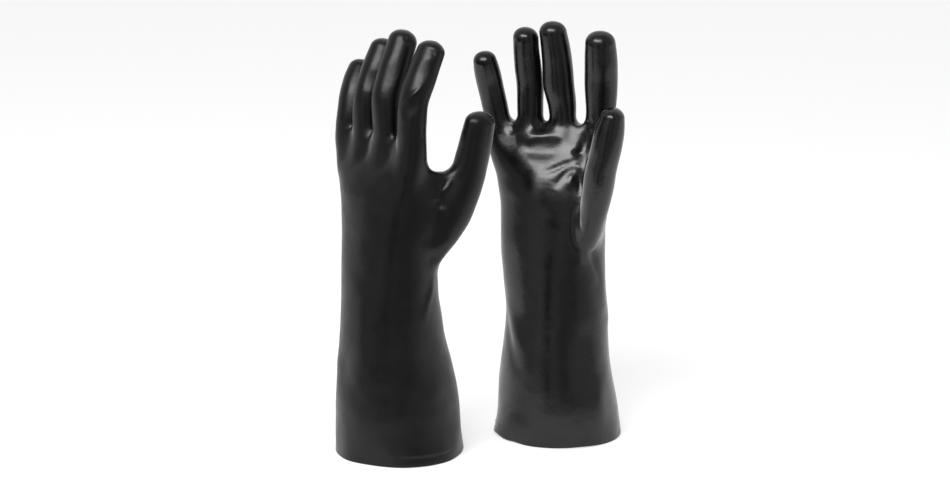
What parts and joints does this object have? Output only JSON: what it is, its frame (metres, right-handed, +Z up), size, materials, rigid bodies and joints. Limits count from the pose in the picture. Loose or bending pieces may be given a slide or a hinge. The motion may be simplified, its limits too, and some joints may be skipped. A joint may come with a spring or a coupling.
{
  "type": "rubber gloves",
  "caption": "Pair of long black rubber gauntlet gloves with cotton liners, a left and a right, standing on their cuffs with fingers that bend.",
  "frame": {"origin": "on the floor, in the middle of the pair: the centre of the bounding box's bottom face", "axes": "+Z up, from the cuffs to the fingertips; -Y towards the front, from where the left glove shows its back and the right glove its palm; +X to the right, from the left glove to the right glove"},
  "size_m": [0.2445, 0.1578, 0.3536],
  "materials": {
    "rubber_coat": "glossy",
    "cotton_liner": "matte",
    "seam_thread": "matte"
  },
  "bodies": {
    "left_hand": {"left_cuff_coat": "rubber_coat", "left_forearm_coat": "rubber_coat", "left_palm_coat": "rubber_coat", "left_knuckle_coat": "rubber_coat", "left_palm_liner": "cotton_liner", "left_back_liner": "cotton_liner", "left_side_seams": "seam_thread"},
    "left_index_base": {"left_index_base_coat": "rubber_coat", "left_index_base_liner": "cotton_liner"},
    "left_index_tip": {"left_index_tip_coat": "rubber_coat", "left_index_tip_liner": "cotton_liner"},
    "left_middle_base": {"left_middle_base_coat": "rubber_coat", "left_middle_base_liner": "cotton_liner"},
    "left_middle_tip": {"left_middle_tip_coat": "rubber_coat", "left_middle_tip_liner": "cotton_liner"},
    "left_ring_base": {"left_ring_base_coat": "rubber_coat", "left_ring_base_liner": "cotton_liner"},
    "left_ring_tip": {"left_ring_tip_coat": "rubber_coat", "left_ring_tip_liner": "cotton_liner"},
    "left_little_base": {"left_little_base_coat": "rubber_coat", "left_little_base_liner": "cotton_liner"},
    "left_little_tip": {"left_little_tip_coat": "rubber_coat", "left_little_tip_liner": "cotton_liner"},
    "left_thumb": {"left_thumb_coat": "rubber_coat", "left_thumb_liner": "cotton_liner"},
    "right_hand": {"right_cuff_coat": "rubber_coat", "right_forearm_coat": "rubber_coat", "right_palm_coat": "rubber_coat", "right_knuckle_coat": "rubber_coat", "right_palm_liner": "cotton_liner", "right_back_liner": "cotton_liner", "right_side_seams": "seam_thread"},
    "right_index_base": {"right_index_base_coat": "rubber_coat", "right_index_base_liner": "cotton_liner"},
    "right_index_tip": {"right_index_tip_coat": "rubber_coat", "right_index_tip_liner": "cotton_liner"},
    "right_middle_base": {"right_middle_base_coat": "rubber_coat", "right_middle_base_liner": "cotton_liner"},
    "right_middle_tip": {"right_middle_tip_coat": "rubber_coat", "right_middle_tip_liner": "cotton_liner"},
    "right_ring_base": {"right_ring_base_coat": "rubber_coat", "right_ring_base_liner": "cotton_liner"},
    "right_ring_tip": {"right_ring_tip_coat": "rubber_coat", "right_ring_tip_liner": "cotton_liner"},
    "right_little_base": {"right_little_base_coat": "rubber_coat", "right_little_base_liner": "cotton_liner"},
    "right_little_tip": {"right_little_tip_coat": "rubber_coat", "right_little_tip_liner": "cotton_liner"},
    "right_thumb": {"right_thumb_coat": "rubber_coat", "right_thumb_liner": "cotton_liner"}
  },
  "joints": [
    {"name": "left_index_base_bend", "type": "hinge", "parent": "left_hand", "child": "left_index_base", "pos_m": [-0.05197, -0.05515, 0.279], "axis": [-0.629, 0.7767, 0.0322], "range_deg": [-10, 30], "stiffness_Nm_per_rad": 0.08},
    {"name": "left_index_tip_bend", "type": "hinge", "parent": "left_index_base", "child": "left_index_tip", "pos_m": [-0.04668, -0.05215, 0.31], "axis": [-0.6289, 0.7766, 0.0384], "range_deg": [-10, 30], "stiffness_Nm_per_rad": 0.05},
    {"name": "left_middle_base_bend", "type": "hinge", "parent": "left_hand", "child": "left_middle_base", "pos_m": [-0.07359, -0.03084, 0.279], "axis": [-0.629, 0.7768, -0.0294], "range_deg": [-10, 30], "stiffness_Nm_per_rad": 0.08},
    {"name": "left_middle_tip_bend", "type": "hinge", "parent": "left_middle_base", "child": "left_middle_tip", "pos_m": [-0.06917, -0.02597, 0.313], "axis": [-0.6285, 0.7762, -0.0499], "range_deg": [-10, 30], "stiffness_Nm_per_rad": 0.05},
    {"name": "left_ring_base_bend", "type": "hinge", "parent": "left_hand", "child": "left_ring_base", "pos_m": [-0.09153, -0.00869, 0.279], "axis": [-0.6292, 0.777, -0.0161], "range_deg": [-10, 30], "stiffness_Nm_per_rad": 0.08},
    {"name": "left_ring_tip_bend", "type": "hinge", "parent": "left_ring_base", "child": "left_ring_tip", "pos_m": [-0.08757, -0.00484, 0.31], "axis": [-0.6292, 0.777, 0.0185], "range_deg": [-10, 30], "stiffness_Nm_per_rad": 0.05},
    {"name": "left_little_base_bend", "type": "hinge", "parent": "left_hand", "child": "left_little_base", "pos_m": [-0.10791, 0.01472, 0.277], "axis": [-0.6215, 0.7675, -0.1571], "range_deg": [-10, 30], "stiffness_Nm_per_rad": 0.08},
    {"name": "left_little_tip_bend", "type": "hinge", "parent": "left_little_base", "child": "left_little_tip", "pos_m": [-0.10545, 0.02121, 0.299], "axis": [-0.6224, 0.7685, -0.1483], "range_deg": [-10, 30], "stiffness_Nm_per_rad": 0.05},
    {"name": "left_thumb_bend", "type": "hinge", "parent": "left_hand", "child": "left_thumb", "pos_m": [-0.00641, -0.03434, 0.249], "axis": [-0.7752, -0.6277, 0.0712], "range_deg": [-15, 20], "stiffness_Nm_per_rad": 0.08},
    {"name": "right_index_base_bend", "type": "hinge", "parent": "right_hand", "child": "right_index_base", "pos_m": [0.10161, 0.02295, 0.279], "axis": [0.9558, -0.2922, -0.0322], "range_deg": [-10, 30], "stiffness_Nm_per_rad": 0.08},
    {"name": "right_index_tip_bend", "type": "hinge", "parent": "right_index_base", "child": "right_index_tip", "pos_m": [0.10081, 0.01692, 0.31], "axis": [0.9556, -0.2922, -0.0384], "range_deg": [-10, 30], "stiffness_Nm_per_rad": 0.05},
    {"name": "right_middle_base_bend", "type": "hinge", "parent": "right_hand", "child": "right_middle_base", "pos_m": [0.07096, 0.03388, 0.279], "axis": [0.9559, -0.2922, 0.0294], "range_deg": [-10, 30], "stiffness_Nm_per_rad": 0.08},
    {"name": "right_middle_tip_bend", "type": "hinge", "parent": "right_middle_base", "child": "right_middle_tip", "pos_m": [0.06811, 0.02796, 0.313], "axis": [0.9551, -0.292, 0.0499], "range_deg": [-10, 30], "stiffness_Nm_per_rad": 0.05},
    {"name": "right_ring_base_bend", "type": "hinge", "parent": "right_hand", "child": "right_ring_base", "pos_m": [0.04371, 0.04222, 0.279], "axis": [0.9562, -0.2923, 0.0161], "range_deg": [-10, 30], "stiffness_Nm_per_rad": 0.08},
    {"name": "right_ring_tip_bend", "type": "hinge", "parent": "right_ring_base", "child": "right_ring_tip", "pos_m": [0.04162, 0.0371, 0.31], "axis": [0.9561, -0.2923, -0.0185], "range_deg": [-10, 30], "stiffness_Nm_per_rad": 0.05},
    {"name": "right_little_base_bend", "type": "hinge", "parent": "right_hand", "child": "right_little_base", "pos_m": [0.01587, 0.04863, 0.277], "axis": [0.9444, -0.2887, 0.1571], "range_deg": [-10, 30], "stiffness_Nm_per_rad": 0.08},
    {"name": "right_little_tip_bend", "type": "hinge", "parent": "right_little_base", "child": "right_little_tip", "pos_m": [0.01077, 0.04392, 0.299], "axis": [0.9457, -0.2891, 0.1483], "range_deg": [-10, 30], "stiffness_Nm_per_rad": 0.05},
    {"name": "right_thumb_bend", "type": "hinge", "parent": "right_hand", "child": "right_thumb", "pos_m": [0.09938, -0.02709, 0.249], "axis": [-0.2916, -0.9539, -0.0712], "range_deg": [-15, 20], "stiffness_Nm_per_rad": 0.08},
    {"name": "right_glove_lift", "type": "slide", "parent": "left_hand", "child": "right_hand", "axis": [0, 0, 1], "range_m": [0, 0.4]}
  ],
  "couplings": [
    {"joint": "left_index_tip_bend", "follows": "left_index_base_bend", "ratio": 1},
    {"joint": "left_middle_tip_bend", "follows": "left_middle_base_bend", "ratio": 1},
    {"joint": "left_ring_tip_bend", "follows": "left_ring_base_bend", "ratio": 1},
    {"joint": "left_little_tip_bend", "follows": "left_little_base_bend", "ratio": 1},
    {"joint": "right_index_tip_bend", "follows": "right_index_base_bend", "ratio": 1},
    {"joint": "right_middle_tip_bend", "follows": "right_middle_base_bend", "ratio": 1},
    {"joint": "right_ring_tip_bend", "follows": "right_ring_base_bend", "ratio": 1},
    {"joint": "right_little_tip_bend", "follows": "right_little_base_bend", "ratio": 1}
  ]
}
